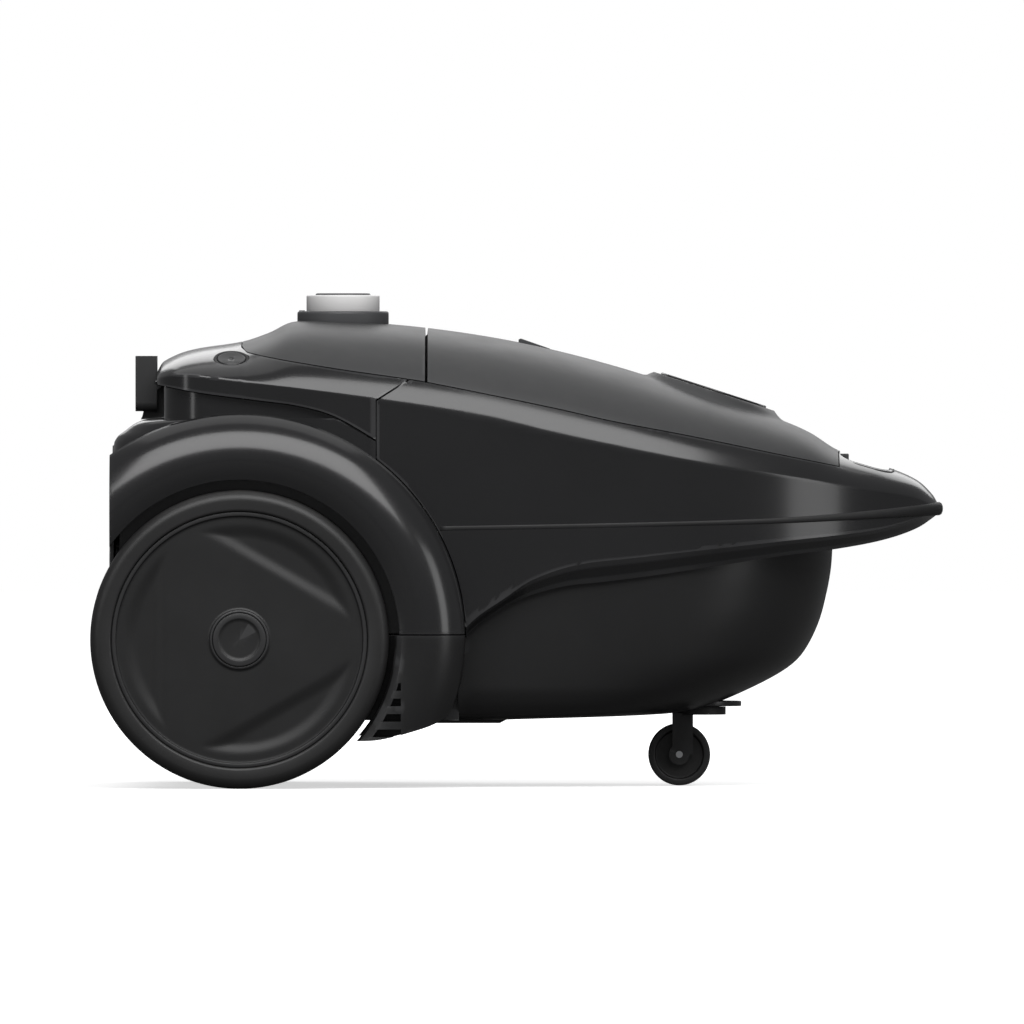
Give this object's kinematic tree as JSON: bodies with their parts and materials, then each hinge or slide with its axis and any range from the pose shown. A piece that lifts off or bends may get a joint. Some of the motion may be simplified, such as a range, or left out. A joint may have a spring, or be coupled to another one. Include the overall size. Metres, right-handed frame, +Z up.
{
  "type": "canister vacuum cleaner",
  "caption": "Wheeled canister vacuum cleaner body with a hinged dust lid, sloping hose inlet, rotary suction knob, foot buttons and a carrying handle in the nose.",
  "frame": {"origin": "on the floor, under the middle of the whole body", "axes": "+X towards the nose, +Y towards the machine's left side, +Z up"},
  "size_m": [0.493, 0.3, 0.2854],
  "materials": {
    "shell_gloss": "polished black moulded plastic",
    "tub_plastic": "black moulded plastic, slightly duller than the shells",
    "cover_grey": "satin dark grey moulded plastic",
    "collar_grey": "satin dark grey, a little darker than the lid",
    "window_grey": "smoky grey plastic",
    "knob_white": "satin white plastic",
    "matt_black": "matt black plastic",
    "soft_black": "black soft bumper",
    "tyre": "black satin rubber",
    "wheel_black": "satin black moulded plastic",
    "inner_plastic": "unpolished dark inner moulding",
    "rubber": "black rubber",
    "steel": "bright pin steel",
    "pressed_steel": "pressed steel sheet",
    "cast_metal": "aluminium",
    "copper": "varnished copper winding",
    "flag_red": "red plastic",
    "holder_red": "dark red plastic",
    "card": "brown card",
    "bag_paper": "creased filter paper",
    "filter_fleece": "white filter fleece",
    "board_green": "lacquered circuit board"
  },
  "bodies": {
    "body": {"base_tub": "tub_plastic", "belly_plate": "tub_plastic", "rear_shell": "shell_gloss", "front_shell": "shell_gloss", "rear_hood": "shell_gloss", "rear_cover": "cover_grey", "bumper_strip": "soft_black", "parking_bracket": "matt_black", "bulkhead": "inner_plastic", "lid_hinge_pins": "steel", "bag_holder": "holder_red", "bag_collar": "card", "dust_bag": "bag_paper", "motor_filter": "filter_fleece", "motor_filter_frame": "inner_plastic", "fan_housing": "cast_metal", "motor_can": "pressed_steel", "motor_stator": "copper", "motor_bearings": "steel", "motor_front_seal": "rubber", "motor_rear_mount": "rubber", "reel_frame": "inner_plastic", "reel_axle": "steel", "reel_spring_case": "pressed_steel", "cord_outlet": "rubber", "inner_deck": "inner_plastic", "control_board": "board_green", "speed_control": "pressed_steel", "power_switch": "matt_black", "knob_collar": "collar_grey", "button_bezels": "matt_black", "exhaust_filter": "filter_fleece", "wheel_axles": "steel", "housing_screws": "steel"},
    "lid": {"front_lid": "cover_grey", "lid_gasket": "rubber", "hose_socket": "matt_black", "hose_socket_ring": "shell_gloss", "hose_seal": "rubber", "indicator_window": "window_grey"},
    "latch_lever": {"lid_latch": "matt_black"},
    "bag_full_flag": {"indicator_flag": "flag_red"},
    "knob": {"knob_ring": "knob_white", "knob_cap": "collar_grey"},
    "power_button": {"power_button": "shell_gloss"},
    "rewind_button": {"rewind_button": "shell_gloss"},
    "rotor": {"motor_rotor": "copper", "impeller": "cast_metal"},
    "reel": {"reel_drum": "inner_plastic"},
    "brake_arm": {"reel_brake": "holder_red"},
    "exhaust_door": {"exhaust_cover": "shell_gloss"},
    "right_rear_wheel": {"right_tyre": "tyre", "right_wheel": "wheel_black", "right_hub_cap": "wheel_black"},
    "left_rear_wheel": {"left_tyre": "tyre", "left_wheel": "wheel_black", "left_hub_cap": "wheel_black"},
    "caster": {"caster_fork": "matt_black", "caster_axle": "steel"},
    "caster_roller": {"caster_wheel": "tyre"}
  },
  "joints": [
    {"name": "lid_hinge", "type": "hinge", "parent": "body", "child": "lid", "pos_m": [-0.0465, 0, 0.2545], "axis": [0, -1, 0], "range_deg": [0, 72]},
    {"name": "lid_latch_pull", "type": "hinge", "parent": "lid", "child": "latch_lever", "pos_m": [0.1885, 0, 0.1895], "axis": [0, -1, 0], "range_deg": [0, 16], "stiffness_Nm_per_rad": 0.4, "springref_deg": -8.59},
    {"name": "bag_full_flag_slide", "type": "slide", "parent": "lid", "child": "bag_full_flag", "axis": [1, 0, 0], "range_m": [0, 0.005], "stiffness_N_per_m": 30, "springref_m": -0.002},
    {"name": "suction_knob_turn", "type": "hinge", "parent": "body", "child": "knob", "pos_m": [-0.1015, 0, 0.28], "axis": [0, 0, 1], "range_deg": [-135, 135]},
    {"name": "power_button_press", "type": "slide", "parent": "body", "child": "power_button", "axis": [0, 0.4384, -0.8988], "range_m": [0, 0.004], "stiffness_N_per_m": 800, "springref_m": -0.002},
    {"name": "rewind_button_press", "type": "slide", "parent": "body", "child": "rewind_button", "axis": [0, -0.4384, -0.8988], "range_m": [0, 0.004], "stiffness_N_per_m": 800, "springref_m": -0.002},
    {"name": "reel_brake_swing", "type": "hinge", "parent": "body", "child": "brake_arm", "pos_m": [-0.1655, 0.082, 0.17], "axis": [0, 0, -1], "range_deg": [0, 8]},
    {"name": "reel_spin", "type": "hinge", "parent": "body", "child": "reel", "pos_m": [-0.1275, 0, 0.195], "axis": [0, 0, 1], "continuous": true},
    {"name": "motor_spin", "type": "hinge", "parent": "body", "child": "rotor", "pos_m": [-0.1, 0, 0.105], "axis": [1, 0, 0], "continuous": true},
    {"name": "exhaust_door_hinge", "type": "hinge", "parent": "body", "child": "exhaust_door", "pos_m": [-0.2341, 0, 0.1022], "axis": [0, -1, 0], "range_deg": [0, 95]},
    {"name": "right_wheel_spin", "type": "hinge", "parent": "body", "child": "right_rear_wheel", "pos_m": [-0.1605, -0.128, 0.086], "axis": [0, 1, 0], "continuous": true},
    {"name": "left_wheel_spin", "type": "hinge", "parent": "body", "child": "left_rear_wheel", "pos_m": [-0.1605, 0.128, 0.086], "axis": [0, 1, 0], "continuous": true},
    {"name": "caster_swivel", "type": "hinge", "parent": "body", "child": "caster", "pos_m": [0.1055, 0, 0.045], "axis": [0, 0, 1], "continuous": true},
    {"name": "caster_spin", "type": "hinge", "parent": "caster", "child": "caster_roller", "pos_m": [0.0935, 0, 0.018], "axis": [0, 1, 0], "continuous": true}
  ],
  "couplings": [
    {"joint": "reel_brake_swing", "follows": "rewind_button_press", "rad_per_m": 34}
  ]
}
